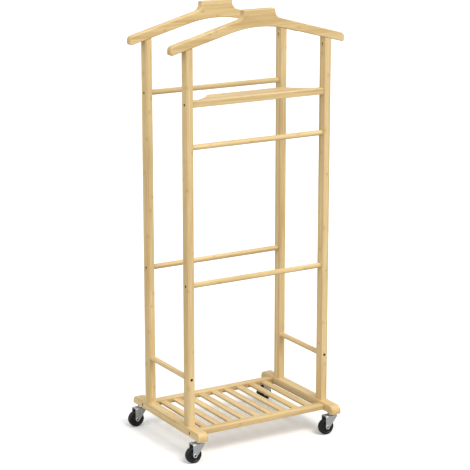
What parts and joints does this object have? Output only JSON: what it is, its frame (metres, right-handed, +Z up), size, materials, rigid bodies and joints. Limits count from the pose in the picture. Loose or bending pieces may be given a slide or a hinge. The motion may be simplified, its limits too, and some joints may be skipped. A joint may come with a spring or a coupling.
{
  "type": "valet stand",
  "caption": "Wooden double valet stand on castors, with suit hangers on posts, a tray, round clothes rods and a slatted base.",
  "frame": {"origin": "on the floor under the middle of the stand, in the middle of its bounding box's base", "axes": "+X along the hangers, +Y from the frame with the tray to the rear frame, +Z up"},
  "size_m": [0.471, 0.334, 1.0565],
  "materials": {
    "post_wood": "clear satin lacquer",
    "board_wood": "clear satin lacquer",
    "rod_wood": "clear satin lacquer",
    "base_wood": "clear satin lacquer",
    "screw_steel": "dark oxide",
    "insert_brass": "turned",
    "stem_steel": "zinc plated",
    "fork_steel": "zinc plated",
    "axle_steel": "zinc plated",
    "wheel_plastic": "moulded, fine grain"
  },
  "bodies": {
    "stand": {"post_front_left": "post_wood", "post_front_right": "post_wood", "post_rear_left": "post_wood", "post_rear_right": "post_wood", "hanger_front": "board_wood", "hanger_rear": "board_wood", "tray": "board_wood", "rod_front_middle": "rod_wood", "rod_front_lower": "rod_wood", "rod_rear_top": "rod_wood", "rod_rear_lower": "rod_wood", "side_rung_left": "rod_wood", "side_rung_right": "rod_wood", "side_rail_left": "base_wood", "side_rail_right": "base_wood", "cross_rail_front": "base_wood", "cross_rail_rear": "base_wood", "slat_1": "base_wood", "slat_2": "base_wood", "slat_3": "base_wood", "slat_4": "base_wood", "slat_5": "base_wood", "slat_6": "base_wood", "slat_7": "base_wood", "slat_8": "base_wood", "slat_9": "base_wood", "rod_screws": "screw_steel", "tray_screws": "screw_steel", "rung_screws": "screw_steel", "cross_rail_screws": "screw_steel", "hanger_screws": "screw_steel", "post_bolts": "screw_steel", "castor_inserts": "insert_brass", "castor_stem_front_left": "stem_steel", "castor_stem_front_right": "stem_steel", "castor_stem_rear_left": "stem_steel", "castor_stem_rear_right": "stem_steel", "castor_cup_front_left": "stem_steel", "castor_cup_front_right": "stem_steel", "castor_cup_rear_left": "stem_steel", "castor_cup_rear_right": "stem_steel", "castor_balls_front_left": "stem_steel", "castor_balls_front_right": "stem_steel", "castor_balls_rear_left": "stem_steel", "castor_balls_rear_right": "stem_steel"},
    "fork_front_left": {"castor_fork_front_left": "fork_steel", "castor_axle_front_left": "axle_steel"},
    "wheel_front_left": {"castor_wheel_front_left": "wheel_plastic"},
    "fork_front_right": {"castor_fork_front_right": "fork_steel", "castor_axle_front_right": "axle_steel"},
    "wheel_front_right": {"castor_wheel_front_right": "wheel_plastic"},
    "fork_rear_left": {"castor_fork_rear_left": "fork_steel", "castor_axle_rear_left": "axle_steel"},
    "wheel_rear_left": {"castor_wheel_rear_left": "wheel_plastic"},
    "fork_rear_right": {"castor_fork_rear_right": "fork_steel", "castor_axle_rear_right": "axle_steel"},
    "wheel_rear_right": {"castor_wheel_rear_right": "wheel_plastic"}
  },
  "joints": [
    {"name": "swivel_front_left", "type": "hinge", "parent": "stand", "child": "fork_front_left", "pos_m": [-0.188, -0.145, 0.0475], "axis": [0, 0, 1], "continuous": true},
    {"name": "roll_front_left", "type": "hinge", "parent": "fork_front_left", "child": "wheel_front_left", "pos_m": [-0.205, -0.145, 0.02], "axis": [0, 1, 0], "continuous": true},
    {"name": "swivel_front_right", "type": "hinge", "parent": "stand", "child": "fork_front_right", "pos_m": [0.188, -0.145, 0.0475], "axis": [0, 0, 1], "continuous": true},
    {"name": "roll_front_right", "type": "hinge", "parent": "fork_front_right", "child": "wheel_front_right", "pos_m": [0.171, -0.145, 0.02], "axis": [0, 1, 0], "continuous": true},
    {"name": "swivel_rear_left", "type": "hinge", "parent": "stand", "child": "fork_rear_left", "pos_m": [-0.188, 0.145, 0.0475], "axis": [0, 0, 1], "continuous": true},
    {"name": "roll_rear_left", "type": "hinge", "parent": "fork_rear_left", "child": "wheel_rear_left", "pos_m": [-0.205, 0.145, 0.02], "axis": [0, 1, 0], "continuous": true},
    {"name": "swivel_rear_right", "type": "hinge", "parent": "stand", "child": "fork_rear_right", "pos_m": [0.188, 0.145, 0.0475], "axis": [0, 0, 1], "continuous": true},
    {"name": "roll_rear_right", "type": "hinge", "parent": "fork_rear_right", "child": "wheel_rear_right", "pos_m": [0.171, 0.145, 0.02], "axis": [0, 1, 0], "continuous": true}
  ]
}
